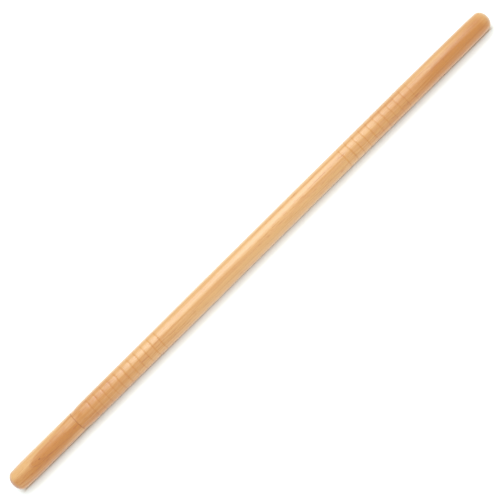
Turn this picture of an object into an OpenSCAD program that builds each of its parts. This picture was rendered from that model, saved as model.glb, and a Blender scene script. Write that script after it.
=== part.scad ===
// A devil stick: a turned wooden baton, thickest in the middle, with a band of rings for each
// hand and rounded tips. It lies along X with its middle at the origin and its axis at Z = 0.
// The tip at -X belongs to a short end section, joined to the shaft by a hidden glued dowel.

/* [Stick] */
// Length from tip to tip
stick_length = 711; // [680:1:900]
// Diameter of the plain middle
middle_d = 25.4; // [24:0.1:32]
// Length of the plain middle, which is a true cylinder
middle_length = 160; // [60:1:200]
// Diameter of each ringed band
band_d = 25.1; // [22:0.1:30]
// Diameter of the end section
end_d = 24.4; // [20:0.1:28]
// Diameter near the tip of the shaft
shaft_tip_d = 23.8; // [20:0.1:28]
// Length over which each end draws in to its tip
nose_length = 18; // [13:0.5:20]
// How much that takes off the radius
nose_drop = 0.9; // [0.2:0.1:1.5]
// Length of the rounding at each tip
tip_length = 8.5; // [4:0.5:12]

/* [Rings] */
// Number of grooves in each band
groove_count = 11; // [3:1:11]
// Distance from one groove to the next
groove_pitch = 10.05; // [6:0.05:10.5]
// Distance from each tip to the middle of its band
tip_to_band = 167.5; // [165:0.1:175]
// Width of a groove at the surface
groove_width = 3; // [1:0.1:4]
// Depth of a groove
groove_depth = 0.2; // [0.1:0.05:1]

/* [Joint] */
// Length of the end section, from its tip to the seam
end_length = 95.5; // [80:0.5:98]
// How far the shaft lies below the end section at the seam
seam_step = 0.4; // [0.1:0.1:1]
// Length over which the shaft comes back to its full diameter
seam_blend = 13; // [5:0.5:13]
// Bevel on both edges of the seam
seam_bevel = 0.3; // [0.1:0.1:0.6]
// Diameter of the dowel
dowel_d = 12; // [8:0.5:14]
// Length of the dowel, half of it on each side of the seam
dowel_length = 60; // [30:1:80]
// Number of glue flutes around the dowel
flute_count = 16; // [8:1:20]
// Depth of a glue flute
flute_depth = 0.4; // [0.2:0.1:0.6]
// Bevel on each end of the dowel
dowel_bevel = 1; // [0.5:0.1:2]
// Thickness of glue around the dowel
glue_gap = 0.05; // [0.02:0.01:0.1]
// Room for spare glue past each end of the dowel
glue_well = 2; // [1:0.5:4]

/* [Hidden] */
$fn = 96;
half_length = stick_length / 2;
seam_x = end_length - half_length;
band_centre = half_length - tip_to_band;
groove_r = (pow(groove_width / 2, 2) + pow(groove_depth, 2)) / (2 * groove_depth);
first_groove = -(groove_count - 1) / 2 * groove_pitch;
ring_start = band_centre + first_groove;
ring_end = band_centre - first_groove;
nose_x = half_length - nose_length;
tip_steps = 20;
overlap = 1;

// Stations of the taper, as a place along the stick and the radius there
taper = [
    [-half_length, end_d / 2 - nose_drop],
    [-nose_x, end_d / 2],
    [seam_x, end_d / 2],
    [-ring_end, band_d / 2],
    [-ring_start, band_d / 2],
    [-middle_length / 2, middle_d / 2],
    [middle_length / 2, middle_d / 2],
    [ring_start, band_d / 2],
    [ring_end, band_d / 2],
    [nose_x, shaft_tip_d / 2],
    [half_length, shaft_tip_d / 2 - nose_drop],
];

function radius_at(x) = lookup(x, taper);

// Half of an elliptical tip, from its shoulder to the axis; side is -1 or 1
function tip(side) =
    let (shoulder = half_length - tip_length, r = radius_at(side * shoulder))
    [for (i = [0 : tip_steps])
        let (a = 90 * i / tip_steps)
        [r * cos(a), side * (shoulder + tip_length * sin(a))]];

// Turns a half outline, drawn as [radius, place along the stick], about the X axis
module turned() {
    rotate([0, 90, 0]) rotate_extrude() children();
}

// The blind hole for the dowel, as far into each side of the seam as it goes
module dowel_hole() {
    hole_length = dowel_length + 2 * glue_well;
    translate([seam_x, 0, 0]) rotate([0, 90, 0])
        cylinder(d = dowel_d + 2 * glue_gap, h = hole_length, center = true);
}

// The rounded bottoms of one band of grooves, in the half outline
module groove_cuts(side) {
    for (i = [0 : groove_count - 1]) {
        x = side * band_centre + first_groove + i * groove_pitch;
        translate([radius_at(x) - groove_depth + groove_r, x]) circle(groove_r);
    }
}

module shaft() {
    seam_r = end_d / 2 - seam_step;
    blend_x = seam_x + seam_blend;
    outline = concat(
        [[0, seam_x], [seam_r - seam_bevel, seam_x], [seam_r, seam_x + seam_bevel]],
        [[radius_at(blend_x), blend_x]],
        [for (p = taper) if (p.x > blend_x && p.x < half_length) [p.y, p.x]],
        tip(1)
    );
    color("burlywood") difference() {
        turned() difference() {
            polygon(outline);
            groove_cuts(-1);
            groove_cuts(1);
        }
        dowel_hole();
    }
}

module end_section() {
    r = end_d / 2;
    outline = concat(
        [[0, seam_x], [r - seam_bevel, seam_x], [r, seam_x - seam_bevel], [r, -nose_x]],
        tip(-1)
    );
    color("sandybrown") difference() {
        turned() polygon(outline);
        dowel_hole();
    }
}

module joint_dowel() {
    r = dowel_d / 2;
    half = dowel_length / 2;
    color("wheat") translate([seam_x, 0, 0]) intersection() {
        turned() polygon([
            [0, -half], [r - dowel_bevel, -half], [r, dowel_bevel - half],
            [r, half - dowel_bevel], [r - dowel_bevel, half], [0, half],
        ]);
        rotate([0, 90, 0]) linear_extrude(dowel_length + 2 * overlap, center = true)
            difference() {
                circle(r + overlap);
                for (i = [0 : flute_count - 1])
                    rotate(i * 360 / flute_count) translate([r, 0]) circle(flute_depth);
            }
    }
}

shaft();
end_section();
joint_dowel();
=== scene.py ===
"""The looks of a turned wooden devil stick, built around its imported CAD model, in metres."""

import math
import random
from collections import namedtuple

import bmesh
import bpy
from mathutils import Matrix, Vector, noise


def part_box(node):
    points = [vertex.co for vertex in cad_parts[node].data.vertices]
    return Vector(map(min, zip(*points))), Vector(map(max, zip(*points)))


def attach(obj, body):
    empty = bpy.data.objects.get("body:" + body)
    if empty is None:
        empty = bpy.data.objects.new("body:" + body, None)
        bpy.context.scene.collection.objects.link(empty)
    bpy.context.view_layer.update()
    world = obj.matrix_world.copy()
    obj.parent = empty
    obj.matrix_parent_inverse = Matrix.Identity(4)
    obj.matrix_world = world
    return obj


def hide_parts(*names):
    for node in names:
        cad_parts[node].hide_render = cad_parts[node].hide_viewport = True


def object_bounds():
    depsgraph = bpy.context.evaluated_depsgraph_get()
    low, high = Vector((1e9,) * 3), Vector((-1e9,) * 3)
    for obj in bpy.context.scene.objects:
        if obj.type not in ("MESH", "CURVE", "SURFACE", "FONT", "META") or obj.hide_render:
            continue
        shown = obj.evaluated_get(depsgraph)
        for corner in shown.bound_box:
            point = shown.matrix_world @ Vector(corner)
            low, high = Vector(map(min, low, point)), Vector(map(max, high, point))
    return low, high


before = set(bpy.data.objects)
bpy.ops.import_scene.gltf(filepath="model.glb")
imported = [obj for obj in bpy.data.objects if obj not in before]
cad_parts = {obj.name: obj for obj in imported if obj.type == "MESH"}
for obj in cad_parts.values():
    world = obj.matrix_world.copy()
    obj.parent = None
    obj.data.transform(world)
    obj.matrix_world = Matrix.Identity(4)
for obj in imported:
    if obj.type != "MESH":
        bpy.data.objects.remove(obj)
cad_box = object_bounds()

MM = 0.001

# The stick's main sizes, read from the CAD model.
TIP_X, TOP_Z = cad_box[1].x, cad_box[1].z
SEAM_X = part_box("end_section")[1].x
DOWEL_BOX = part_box("joint_dowel")
DOWEL_R = DOWEL_BOX[1].z
MIDDLE_R = TOP_Z

# Ringed bands.
GROOVES = 11
GROOVE_PITCH = 10.05 * MM
TIP_TO_BAND = 167.5 * MM
BAND_CENTRE = TIP_X - TIP_TO_BAND
BAND_R = 12.55 * MM
HALF_BAND = (GROOVES - 1) / 2 * GROOVE_PITCH
GROOVE_REACH = 1.5 * MM
GROOVE_DEPTH = 0.125 * MM
SHOULDER = 3.2 * MM
SHOULDER_DROP = 0.06 * MM

# How much one groove differs from the next, and how they get shallower towards the tips.
GROOVE_SEED = 11
GROOVE_SHIFT = 0.2 * MM
REACH_SPREAD = (0.85, 1.2)
DEPTH_SPREAD = (0.8, 1.2)
INNER_DEPTH = 1.18
DEPTH_FALL = 0.055

# Taper from the plain middle to the tips.
MIDDLE_END = 80 * MM
END_R = 12.2 * MM
SHAFT_TIP_R = 11.9 * MM
NOSE_LENGTH = 18 * MM
NOSE_X = TIP_X - NOSE_LENGTH
NOSE_DROP = 0.9 * MM
TIP_LENGTH = 8.5 * MM
TAPER_BLEND = 6 * MM
BLEND_SHARES = (-1, -0.5, 0, 0.5, 1)

# Radius of the stick with no rings, as (place along the stick, radius) stations.
TAPER = [
    (-TIP_X, END_R - NOSE_DROP),
    (-NOSE_X, END_R),
    (SEAM_X, END_R),
    (-BAND_CENTRE - HALF_BAND, BAND_R),
    (-BAND_CENTRE + HALF_BAND, BAND_R),
    (-MIDDLE_END, MIDDLE_R),
    (MIDDLE_END, MIDDLE_R),
    (BAND_CENTRE - HALF_BAND, BAND_R),
    (BAND_CENTRE + HALF_BAND, BAND_R),
    (NOSE_X, SHAFT_TIP_R),
    (TIP_X, SHAFT_TIP_R - NOSE_DROP),
]

# Seam between the end section and the shaft. A higher power keeps the shaft low for longer beside it.
SEAM_STEP = 0.4 * MM
SEAM_BLEND = 11 * MM
SEAM_POWER = 1.5
SEAM_BEVEL = 0.2 * MM

# Blind hole for the dowel, on both sides of the seam.
GLUE_GAP = 0.05 * MM
GLUE_WELL = 2 * MM
BORE_R = DOWEL_R + GLUE_GAP

# How finely the surfaces are cut: finest in a groove, less on the beads and beside the seam.
SEGMENTS = 112
FINE_STEP = 0.2 * MM
FINE_REACH = 1.25 * GROOVE_REACH
BEAD_STEP = 0.7 * MM
PLAIN_STEP = 3 * MM
TIP_STEPS = 22
SHARP_ANGLE = math.radians(40)

# How far a hand-sanded surface wanders, and how many times a metre along and across the stick.
WANDER = 0.035 * MM
WANDER_ALONG = 55
WANDER_ACROSS = 130

# Only what is farther from the axis than this wanders, which leaves out the bore and the heart of a tip.
SANDED_FROM = 1.2 * BORE_R


# Shapes


def lookup(x, stations):
    """The value at x on straight lines between (place, value) stations."""
    for (x0, v0), (x1, v1) in zip(stations, stations[1:]):
        if x <= x1:
            return v0 + (v1 - v0) * max(0.0, (x - x0) / (x1 - x0))
    return stations[-1][1]


def taper_radius(x):
    """The stick's radius with no rings, with the corners of the taper sanded round."""
    return sum(lookup(x + s * TAPER_BLEND, TAPER) for s in BLEND_SHARES) / len(BLEND_SHARES)


def make_grooves():
    """Each groove's place, half width and depth, with the small differences of hand turning."""
    rng = random.Random(GROOVE_SEED)
    found = []
    for side in (-1, 1):
        for i in range(GROOVES):
            place = side * BAND_CENTRE - HALF_BAND + i * GROOVE_PITCH
            place += rng.uniform(-GROOVE_SHIFT, GROOVE_SHIFT)
            reach = GROOVE_REACH * rng.uniform(*REACH_SPREAD)
            outward = i if side > 0 else GROOVES - 1 - i
            depth = GROOVE_DEPTH * rng.uniform(*DEPTH_SPREAD) * (INNER_DEPTH - DEPTH_FALL * outward)
            found.append((place, reach, depth))
    return found


GROOVE_LIST = make_grooves()


def groove_cut(x):
    """How far the rings lower the surface at x, and how much of that is the cut itself, from 0 to 1."""
    drop, cut = 0.0, 0.0
    for place, reach, depth in GROOVE_LIST:
        d = abs(x - place)
        if d < SHOULDER:
            drop += SHOULDER_DROP * (1 - d / SHOULDER) ** 2
        if d < reach:
            share = math.cos(math.pi / 2 * d / reach) ** 2
            drop += depth * share
            cut = max(cut, share * min(1.0, depth / GROOVE_DEPTH))
    return drop, cut


def shaft_radius(x):
    """The shaft's radius with its rings, and with the step at the seam blended back to full size."""
    d = min((x - SEAM_X) / SEAM_BLEND, 1.0)
    recess = SEAM_STEP * math.cos(math.pi / 2 * d ** SEAM_POWER) ** 2
    return taper_radius(x) - groove_cut(x)[0] - recess


def tip_points(side, radius):
    """A rounded tip from its shoulder to the axis, as (x, radius) points. side is -1 or 1."""
    points = []
    for i in range(TIP_STEPS + 1):
        a = math.pi / 2 * i / TIP_STEPS
        x = side * (TIP_X - TIP_LENGTH + TIP_LENGTH * math.sin(a))
        points.append((x, radius * math.cos(a)))
    points[-1] = (points[-1][0], 0.0)
    return points


def near(x, places, reach):
    return any(abs(x - p) < reach for p in places)


def places_between(start, end):
    """Places along the stick from start to end, close together where the shape is fine."""
    groove_places = [g[0] for g in GROOVE_LIST]
    x, found = start, []
    while x < end - 0.5 * FINE_STEP:
        found.append(x)
        if near(x, groove_places, FINE_REACH):
            x += FINE_STEP
        elif near(x, groove_places, SHOULDER + BEAD_STEP) or abs(x - SEAM_X) < SEAM_BLEND:
            x += BEAD_STEP
        else:
            x += PLAIN_STEP
    return found


def lathe(name, outline):
    """A closed mesh turned about the X axis from a half outline that starts and ends on the axis."""
    bm = bmesh.new()
    rings = []
    for x, r in outline:
        if r == 0.0:
            rings.append([bm.verts.new((x, 0, 0))])
            continue
        ring = []
        for k in range(SEGMENTS):
            a = 2 * math.pi * k / SEGMENTS
            ring.append(bm.verts.new((x, r * math.cos(a), r * math.sin(a))))
        rings.append(ring)
    for one, two in zip(rings, rings[1:]):
        for k in range(SEGMENTS):
            n = (k + 1) % SEGMENTS
            corners = [one[k % len(one)], one[n % len(one)], two[n % len(two)], two[k % len(two)]]
            bm.faces.new(list(dict.fromkeys(corners)))
    bmesh.ops.recalc_face_normals(bm, faces=bm.faces)
    mesh = bpy.data.meshes.new(name)
    bm.to_mesh(mesh)
    bm.free()
    piece = bpy.data.objects.new(name, mesh)
    bpy.context.scene.collection.objects.link(piece)
    return piece


def finish_surface(piece, seed):
    """Lets the outer surface wander as hand sanding leaves it, records the cuts, and shades it smooth."""
    mesh = piece.data
    cut = mesh.attributes.new("cut", "FLOAT", "POINT")
    offset = Vector((seed, 0, 0))
    for v in mesh.vertices:
        r = math.hypot(v.co.y, v.co.z)
        cut.data[v.index].value = groove_cut(v.co.x)[1]
        if r > SANDED_FROM:
            p = Vector((v.co.x * WANDER_ALONG, v.co.y * WANDER_ACROSS, v.co.z * WANDER_ACROSS))
            scale = 1 + WANDER * noise.noise(p + offset) / r
            v.co.y *= scale
            v.co.z *= scale
    mesh.shade_smooth()
    mesh.set_sharp_from_angle(angle=SHARP_ANGLE)


def make_shaft():
    bore_end = DOWEL_BOX[1].x + GLUE_WELL
    shoulder = TIP_X - TIP_LENGTH
    outline = [(bore_end, 0.0), (bore_end, BORE_R), (SEAM_X, BORE_R)]
    outline.append((SEAM_X, shaft_radius(SEAM_X) - SEAM_BEVEL))
    outline += [(x, shaft_radius(x)) for x in places_between(SEAM_X + SEAM_BEVEL, shoulder)]
    outline += tip_points(1, shaft_radius(shoulder))
    return lathe("turned_shaft", outline)


def make_end_section():
    bore_end = DOWEL_BOX[0].x - GLUE_WELL
    shoulder = -TIP_X + TIP_LENGTH
    outline = list(reversed(tip_points(-1, taper_radius(shoulder))))
    places = places_between(shoulder, SEAM_X - SEAM_BEVEL)[1:]
    outline += [(x, taper_radius(x)) for x in places]
    outline.append((SEAM_X - SEAM_BEVEL, taper_radius(SEAM_X)))
    outline.append((SEAM_X, taper_radius(SEAM_X) - SEAM_BEVEL))
    outline += [(SEAM_X, BORE_R), (bore_end, BORE_R), (bore_end, 0.0)]
    return lathe("turned_end_section", outline)


# Materials


class Shader:
    """A short way to write a node material: each call makes one node, wires its inputs and returns it."""

    def __init__(self, name):
        self.material = bpy.data.materials.new(name)
        self.material.use_nodes = True
        self.nodes = self.material.node_tree.nodes
        self.links = self.material.node_tree.links
        self.nodes.clear()

    def node(self, kind, inputs=None, **settings):
        n = self.nodes.new("ShaderNode" + kind)
        for key, value in settings.items():
            setattr(n, key, value)
        for key, value in (inputs or {}).items():
            if isinstance(value, bpy.types.NodeSocket):
                self.links.new(value, n.inputs[key])
            else:
                n.inputs[key].default_value = value
        return n

    def math(self, operation, a, b=0.0, c=0.0):
        n = self.node("Math", {0: a, 1: b, 2: c}, operation=operation)
        return n.outputs[0]

    def mix(self, factor, a, b, blend="MIX"):
        n = self.node("Mix", {0: factor, 6: a, 7: b}, data_type="RGBA", blend_type=blend)
        return n.outputs[2]

    def tint(self, colour, amount, tint):
        """The colour multiplied by a tint, as far as the amount says."""
        return self.mix(amount, colour, (*tint, 1), "MULTIPLY")

    def ramp(self, value, low, high, to_low=0.0, to_high=1.0, smooth=True):
        kind = "SMOOTHSTEP" if smooth else "LINEAR"
        inputs = {0: value, 1: low, 2: high, 3: to_low, 4: to_high}
        return self.node("MapRange", inputs, interpolation_type=kind).outputs[0]

    def axes(self, vector):
        """The X, Y and Z of a vector."""
        return self.node("SeparateXYZ", {0: vector}).outputs

    def finish(self, shader_inputs):
        """Ends the material with one principled surface."""
        surface = self.node("BsdfPrincipled", shader_inputs)
        output = self.node("OutputMaterial")
        self.links.new(surface.outputs[0], output.inputs[0])
        return self.material


# A pattern of noise in the wood: how many features it has a metre along and across the stick, how much
# fine detail it has and how strong that is, how far its seed is from the piece's own, and the noise at
# which it starts and is full.
Grain = namedtuple("Grain", "along across detail roughness seed low high", defaults=(0.0, 1.0))
SWAY = Grain(9, 55, 2.0, 0.5, 0)
STREAKS = Grain(8, 330, 4.0, 0.6, 3, 0.3, 0.7)
FIBRES = Grain(60, 2600, 3.0, 0.6, 5, 0.35, 0.65)
CLOUDS = Grain(14, 60, 2.0, 0.5, 7, 0.3, 0.7)
PORES = Grain(320, 3400, 2.0, 0.5, 9, 0.62, 0.72)
DASH_PATCHES = Grain(16, 150, 1.0, 0.5, 11, 0.47, 0.62)
DASHES = Grain(85, 1150, 2.0, 0.5, 13, 0.55, 0.68)

# How far the growth rings sway from true arcs, and the share of a ring at which its dark line is full
# and starts to fade.
RING_SWAY = 0.9 * MM
LINE_FULL = 0.97
LINE_FADE = 0.98

# The wood is pale in the middle of the stick and gets deeper towards the ends, most of all on the side
# that faces the heart of the tree.
TONE_START, TONE_END, TONE_RISE = 0.06, 0.30, 0.42
HEART_START, HEART_END, HEART_RISE = 0.08, 0.29, 0.50
HEART_Y, HEART_Z = -0.64, 0.77
HEART_SIDE = (0.2 * END_R, END_R)
CLOUD_SHARE = 0.30
STREAK_SHARE = 0.65

# What each kind of mark multiplies the wood's colour by, and how strongly.
LINE_TINT = (0.75, 0.47, 0.17)
FIBRE_TINT, FIBRE_SHARE = (0.72, 0.55, 0.40), 0.20
DASH_TINT, DASH_SHARE = (0.74, 0.44, 0.17), 0.60
PORE_TINT, PORE_SHARE = (0.45, 0.28, 0.16), 0.35
KNOT_TINT = (0.66, 0.47, 0.30)
CUT_TINT = (0.92, 0.79, 0.43)
SEAM_TINT, SEAM_SHARE = (0.82, 0.60, 0.15), 0.60
# End grain's own darker colour, and on the end section's tip painted shade.
END_GRAIN_AND_SHADE_TINT = (0.76, 0.50, 0.14)

# Distance from the seam at which its stain starts and is full, and the same for the end grain, as how
# much the surface faces along the stick.
SEAM_STAIN = (0.5 * MM, 0.1 * MM)
END_GRAIN = (0.45, 0.95)

# Satin lacquer, with the relief of the fibres, pores and dashes under it.
ROUGH_LOW, ROUGH_HIGH, ROUGH_END = 0.29, 0.37, 0.12
LACQUER = {"IOR": 1.5, "Coat Weight": 0.88, "Coat Roughness": 0.18, "Coat IOR": 1.5}
RELIEF = 0.06 * MM
RELIEF_STRENGTH = 0.35
FIBRE_HEIGHT, PORE_HEIGHT, DASH_HEIGHT = 0.5, -0.6, -0.4

# The growth rings of a piece: the place of the pith in Y and Z at X = 0, how far it moves in Y and Z
# along X, and the spacing and shift of the rings.
Rings = namedtuple("Rings", "pith slope spacing shift")

# A broad mark in the wood, or at the shaft's tip a pale patch of painted light: its place, its length and
# breadth from there out, and how much deeper it is than the wood around it, which is negative for a pale
# mark.
Mark = namedtuple("Mark", "place length breadth change")

# The wood of a piece: its rings, its pale and deep colours, the share of a ring at which the dark line
# starts, how strong the lines, the tones of the rings and the darker end grain (mostly painted shade on
# the end section) are, and its marks and knot.
Wood = namedtuple(
    "Wood",
    "rings seed pale deep line_start line_share ring_share end_share marks knot",
    defaults=((), None),
)

# A small knot near the tip of the end section: its place, how far out and how much it pushes the rings,
# and the share of that reach at which its dark eye starts and is full.
KNOT = (-0.3149, -0.0048, 0.0112)
KNOT_LENGTH = 25 * MM
KNOT_BREADTH = 12 * MM
KNOT_LIFT = 1.4 * MM
KNOT_EYE = (0.08, 0.032)

PALE = (0.587, 0.302, 0.099)
DEEP = (0.450, 0.154, 0.009)

SHAFT_WOOD = Wood(
    rings=Rings((0.006, -0.045), (0.0, 0.002), 0.0030, 0.0),
    seed=2.0,
    pale=PALE,
    deep=DEEP,
    line_start=0.62,
    line_share=0.26,
    ring_share=0.15,
    end_share=0.05,
    marks=(
        Mark((0.285, -0.0072, 0.0096), 0.070, 0.0060, 0.30),
        Mark((0.272, 0.0022, 0.0120), 0.075, 0.0060, -0.50),
        Mark((0.277, 0.0064, 0.0102), 0.045, 0.0030, 0.40),
        # Painted light: a pale patch over the shaft's tip, which faces the light.
        Mark((TIP_X, 0.0, 0.0), 0.016, 0.0350, -0.90),
        Mark((0.020, -0.0054, 0.0115), 0.250, 0.0028, 0.22),
        Mark((0.185, -0.0033, 0.0120), 0.060, 0.0040, -0.35),
        Mark((-0.175, -0.0068, 0.0105), 0.060, 0.0045, 0.32),
        Mark((0.095, -0.0050, 0.0116), 0.050, 0.0040, 0.20),
        Mark((-0.180, -0.0116, 0.0049), 0.060, 0.0040, -0.30),
        Mark((-0.088, -0.0033, 0.0122), 0.045, 0.0035, -0.25),
    ),
)

END_WOOD = Wood(
    rings=Rings((0.0142, -0.0508), (0.0147, -0.0527), 0.0055, 10.291),
    seed=6.0,
    pale=PALE,
    deep=DEEP,
    line_start=0.90,
    line_share=0.35,
    ring_share=0.75,
    # Mostly painted shade: this tip faces away from the light, so its end grain is darkened strongly.
    end_share=0.90,
    marks=(
        Mark((-0.305, -0.0102, 0.0067), 0.060, 0.0090, 0.90),
        Mark((-0.335, 0.0011, 0.0122), 0.038, 0.0080, -0.42),
        Mark((-0.270, -0.0005, 0.0122), 0.045, 0.0075, -0.50),
    ),
    knot=KNOT,
)

DOWEL_WOOD = Wood(
    rings=Rings((0.0, -0.03), (0.0, 0.0), 0.0025, 0.0),
    seed=9.0,
    pale=(0.60, 0.40, 0.24),
    deep=(0.50, 0.30, 0.16),
    line_start=0.62,
    line_share=0.30,
    ring_share=0.3,
    end_share=0.2,
)


def stretched_noise(s, position, grain, seed):
    """Noise from 0 to 1, drawn out along the stick as the grain says."""
    scale = (grain.along, grain.across, grain.across)
    shift = seed + grain.seed
    inputs = {"Vector": position, "Scale": scale, "Location": (shift, shift, shift)}
    local = s.node("Mapping", inputs).outputs[0]
    inputs = {"Vector": local, "Scale": 1.0, "Detail": grain.detail, "Roughness": grain.roughness}
    return s.node("TexNoise", inputs).outputs["Fac"]


def distance_from(s, position, place, length, breadth):
    """How far each point is from a place, where 1 is that length away along X and that breadth across."""
    scale = (1 / length, 1 / breadth, 1 / breadth)
    move = [-p * k for p, k in zip(place, scale)]
    local = s.node("Mapping", {"Vector": position, "Scale": scale, "Location": move}).outputs[0]
    return s.node("VectorMath", {0: local}, operation="LENGTH").outputs["Value"]


def growth_rings(s, position, rings, seed):
    """How many growth rings lie between a slightly wandering pith line and each point."""
    x, y, z = s.axes(position)
    sway = stretched_noise(s, position, SWAY, seed)
    sway = s.math("MULTIPLY_ADD", sway, 2 * RING_SWAY, -RING_SWAY)
    dy = s.math("MULTIPLY_ADD", x, -rings.slope[0], s.math("SUBTRACT", y, rings.pith[0]))
    dz = s.math("MULTIPLY_ADD", x, -rings.slope[1], s.math("SUBTRACT", z, rings.pith[1]))
    squares = s.math("ADD", s.math("MULTIPLY", dy, dy), s.math("MULTIPLY", dz, dz))
    distance = s.math("ADD", s.math("SQRT", squares), sway)
    return s.math("MULTIPLY_ADD", distance, 1 / rings.spacing, rings.shift)


def wood_tone(s, position, look, patterns):
    """How deep the wood's colour is, from 0 to 1, with each (noise, low, high, share) pattern added."""
    x, y, z = s.axes(position)
    along = s.math("ABSOLUTE", x)
    tone = s.ramp(along, TONE_START, TONE_END, 0.0, TONE_RISE)
    heart = s.math("MULTIPLY_ADD", y, HEART_Y, s.math("MULTIPLY", z, HEART_Z))
    heart = s.ramp(heart, *HEART_SIDE)
    heart = s.math("MULTIPLY", heart, s.ramp(along, HEART_START, HEART_END))
    tone = s.math("MULTIPLY_ADD", heart, HEART_RISE, tone)
    for level, low, high, share in patterns:
        tone = s.math("MULTIPLY_ADD", s.ramp(level, low, high, -0.5, 0.5, False), share, tone)
    for mark in look.marks:
        away = distance_from(s, position, mark.place, mark.length, mark.breadth)
        tone = s.math("ADD", tone, s.ramp(away, 0.0, 1.0, mark.change, 0.0))
    return tone


def wood(name, look):
    """Clear-lacquered wood: growth rings, long streaks, fine fibres, short dark dashes and pores."""
    s = Shader(name)
    position = s.node("TexCoord").outputs["Object"]

    # A thin dark line closes each ring, and each ring has its own tone.
    count = growth_rings(s, position, look.rings, look.seed)
    knot_eye = 0.0
    if look.knot:
        knot_away = distance_from(s, position, look.knot, KNOT_LENGTH, KNOT_BREADTH)
        knot_lift = s.ramp(knot_away, 0.0, 1.0, KNOT_LIFT / look.rings.spacing, 0.0)
        count = s.math("ADD", count, knot_lift)
        knot_eye = s.ramp(knot_away, *KNOT_EYE)
    phase = s.math("FRACT", count)
    line = s.ramp(phase, look.line_start, LINE_FULL)
    line = s.math("MULTIPLY", line, s.ramp(phase, 1.0, LINE_FADE))
    ring_number = s.math("FLOOR", count)
    ring_tone = s.node("TexWhiteNoise", {1: ring_number}, noise_dimensions="1D").outputs[0]

    streaks = stretched_noise(s, position, STREAKS, look.seed)
    fibres = stretched_noise(s, position, FIBRES, look.seed)
    clouds = stretched_noise(s, position, CLOUDS, look.seed)
    patches, dashes, pores = (
        s.ramp(stretched_noise(s, position, grain, look.seed), grain.low, grain.high)
        for grain in (DASH_PATCHES, DASHES, PORES)
    )
    dashes = s.math("MULTIPLY", dashes, patches)

    patterns = (
        (clouds, CLOUDS.low, CLOUDS.high, CLOUD_SHARE),
        (streaks, STREAKS.low, STREAKS.high, STREAK_SHARE),
        (ring_tone, 0.0, 1.0, look.ring_share),
    )
    tone = wood_tone(s, position, look, patterns)
    colour = s.mix(tone, (*look.pale, 1), (*look.deep, 1))
    colour = s.tint(colour, s.math("MULTIPLY", line, look.line_share), LINE_TINT)
    fibre_shade = s.ramp(fibres, FIBRES.low, FIBRES.high, 0.0, FIBRE_SHARE, False)
    colour = s.tint(colour, fibre_shade, FIBRE_TINT)
    colour = s.tint(colour, s.math("MULTIPLY", dashes, DASH_SHARE), DASH_TINT)
    colour = s.tint(colour, s.math("MULTIPLY", pores, PORE_SHARE), PORE_TINT)
    colour = s.tint(colour, knot_eye, KNOT_TINT)

    # The cuts and the seam are tinted darker, and so is the end grain: its own darker colour, and on the
    # end section's tip also painted shade.
    cut = s.node("Attribute", attribute_name="cut").outputs["Fac"]
    seam_away = s.math("ABSOLUTE", s.math("SUBTRACT", s.axes(position)[0], SEAM_X))
    seam = s.ramp(seam_away, *SEAM_STAIN)
    normal_x = s.axes(s.node("NewGeometry").outputs["Normal"])[0]
    end_grain = s.ramp(s.math("ABSOLUTE", normal_x), *END_GRAIN)
    colour = s.tint(colour, cut, CUT_TINT)
    colour = s.tint(colour, s.math("MULTIPLY", seam, SEAM_SHARE), SEAM_TINT)
    # Painted shade on the end section's tip, on top of the end grain's own darker colour.
    colour = s.tint(colour, s.math("MULTIPLY", end_grain, look.end_share), END_GRAIN_AND_SHADE_TINT)

    # The lacquer is nearly even, with the pores and fibres just showing through it.
    rough = s.ramp(streaks, STREAKS.low, STREAKS.high, ROUGH_LOW, ROUGH_HIGH, False)
    rough = s.math("ADD", rough, s.math("MULTIPLY", end_grain, ROUGH_END))
    height = s.math("MULTIPLY_ADD", pores, PORE_HEIGHT, s.math("MULTIPLY", fibres, FIBRE_HEIGHT))
    height = s.math("MULTIPLY_ADD", dashes, DASH_HEIGHT, height)
    bump = s.node("Bump", {"Height": height, "Distance": RELIEF, "Strength": RELIEF_STRENGTH})
    return s.finish({"Base Color": colour, "Roughness": rough, "Normal": bump.outputs[0], **LACQUER})


# The floor is whiter far away, and carries a painted warm contact shadow in the gap under the stick.
FLOOR_SIZE = 12.0
FLOOR_NEAR, FLOOR_NEAR_WHITE = 0.6, 0.93
FLOOR_FAR, FLOOR_FAR_WHITE = 2.0, 0.99
FLOOR_ROUGHNESS = 0.9
FLOOR_GLOW = 0.01
CONTACT_SHADOW_START = 7 * MM
CONTACT_SHADOW_END = 10 * MM
CONTACT_SHADOW_TINT = (0.54, 0.37, 0.22)


def light_table(name):
    """The floor's matt white, lit a little from below as a light table is, with a painted contact shadow
    under the stick.
    """
    s = Shader(name)
    position = s.node("TexCoord").outputs["Object"]
    away = s.node("VectorMath", {0: position}, operation="LENGTH").outputs["Value"]
    white = s.ramp(away, FLOOR_NEAR, FLOOR_FAR, FLOOR_NEAR_WHITE, FLOOR_FAR_WHITE)
    x, y, _ = s.axes(position)
    beside = s.ramp(s.math("ABSOLUTE", y), CONTACT_SHADOW_START, CONTACT_SHADOW_END)
    past = s.ramp(s.math("ABSOLUTE", x), TIP_X - TIP_LENGTH, TIP_X)
    # Painted contact shadow: a warm brown tint in a narrow strip under the stick, fading out beside it
    # and past its tips.
    colour = s.mix(s.math("MAXIMUM", beside, past), (*CONTACT_SHADOW_TINT, 1), white)
    return s.finish(
        {
            "Base Color": colour,
            "Roughness": FLOOR_ROUGHNESS,
            "Emission Color": (1, 1, 1, 1),
            "Emission Strength": FLOOR_GLOW,
        }
    )


# Pieces

shaft = make_shaft()
finish_surface(shaft, seed=3.0)
shaft.data.materials.append(wood("lacquered_shaft", SHAFT_WOOD))
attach(shaft, "root")
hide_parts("shaft")

end_section = make_end_section()
finish_surface(end_section, seed=21.0)
end_section.data.materials.append(wood("lacquered_end", END_WOOD))
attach(end_section, "root")
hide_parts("end_section")

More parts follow.
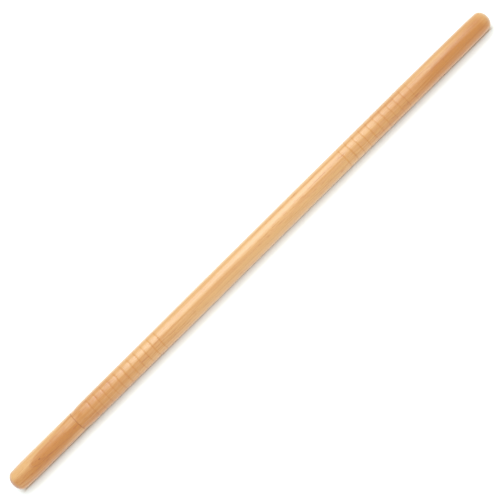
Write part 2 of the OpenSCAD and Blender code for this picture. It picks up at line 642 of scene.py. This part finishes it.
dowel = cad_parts["joint_dowel"]
dowel.data.materials.clear()
dowel.data.materials.append(wood("bare_dowel", DOWEL_WOOD))


# Floor


def make_floor():
    half, low = FLOOR_SIZE / 2, -TOP_Z - WANDER
    corners = [(-half, -half, low), (half, -half, low), (half, half, low), (-half, half, low)]
    mesh = bpy.data.meshes.new("floor")
    mesh.from_pydata(corners, [], [(0, 1, 2, 3)])
    plane = bpy.data.objects.new("floor", mesh)
    plane.data.materials.append(light_table("floor_white"))
    bpy.context.scene.collection.objects.link(plane)
    return plane


floor = make_floor()


# Light

# Each lamp's name, how many degrees it is tipped from straight up towards +Y and leans towards +X, its
# distance, its length and breadth, its radiance in W/m2/sr, and its colour.
LAMPS = (
    ("key", 30, 4, 1.5, (1.15, 1.1), 2.0, (0.86, 0.975, 0.98)),
    ("key_centre", 30, 1, 1.5, (0.6, 1.1), 1.0, (0.90, 0.98, 1.10)),
    ("overhead", 4, 5, 1.6, (1.2, 0.76), 1.75, (1.0, 1.0, 1.0)),
    ("front", -40, 3, 0.8, (0.7, 0.5), 0.5, (1.0, 1.0, 1.0)),
)
SKY_COLOUR = (0.96, 1.06, 1.05, 1)
SKY_STRENGTH = 1.045


def axes_matrix(x, y, z):
    """A rotation whose columns are the three axes."""
    return Matrix((x, y, z)).transposed().to_4x4()


def soft_box(name, tip, lean, distance, size, radiance, colour):
    """A rectangular lamp that faces the stick's middle."""
    lamp = bpy.data.lights.new(name, "AREA")
    lamp.shape = "RECTANGLE"
    lamp.size, lamp.size_y = size
    lamp.energy = radiance * math.pi * size[0] * size[1]
    lamp.color = colour
    b, a = math.radians(tip), math.radians(lean)
    back = Vector((math.sin(a), math.sin(b) * math.cos(a), math.cos(b) * math.cos(a))).normalized()
    right = Vector((1, 0, 0))
    right = (right - back * right.dot(back)).normalized()
    turn = axes_matrix(right, back.cross(right), back)
    box = bpy.data.objects.new(name, lamp)
    box.matrix_world = Matrix.Translation(back * distance) @ turn
    box.visible_camera = False
    bpy.context.scene.collection.objects.link(box)


def make_sky():
    world = bpy.data.worlds.new("studio")
    world.use_nodes = True
    background = world.node_tree.nodes["Background"]
    background.inputs[0].default_value = SKY_COLOUR
    background.inputs[1].default_value = SKY_STRENGTH
    bpy.context.scene.world = world


for settings in LAMPS:
    soft_box(*settings)
make_sky()
bpy.context.scene.view_settings.view_transform = "Standard"


# Camera

CAMERA_DISTANCE = 1.65
CAMERA_LEAN = 0.04
CAMERA_TIP = math.radians(25)
STICK_TURN = math.radians(44.73)
AIM = Vector((-0.0025, 0.0007, 0.0))
FRAME_WIDTH = 0.5331
SENSOR_WIDTH = 36.0


def make_camera():
    """High in front of the stick, leaning a little to the joined end, with the stick up to the right."""
    tip = Matrix.Rotation(CAMERA_TIP, 3, "X")
    back = tip @ Vector((-math.sin(CAMERA_LEAN), 0, math.cos(CAMERA_LEAN)))
    along = tip @ Vector((math.cos(CAMERA_LEAN), 0, math.sin(CAMERA_LEAN)))
    across = back.cross(along)
    right = along * math.cos(STICK_TURN) - across * math.sin(STICK_TURN)
    up = along * math.sin(STICK_TURN) + across * math.cos(STICK_TURN)
    data = bpy.data.cameras.new("camera")
    data.sensor_width = SENSOR_WIDTH
    data.lens = SENSOR_WIDTH * CAMERA_DISTANCE / FRAME_WIDTH
    camera = bpy.data.objects.new("camera", data)
    place = Matrix.Translation(AIM + back * CAMERA_DISTANCE)
    camera.matrix_world = place @ axes_matrix(right, up, back)
    bpy.context.scene.collection.objects.link(camera)
    bpy.context.scene.camera = camera


make_camera()
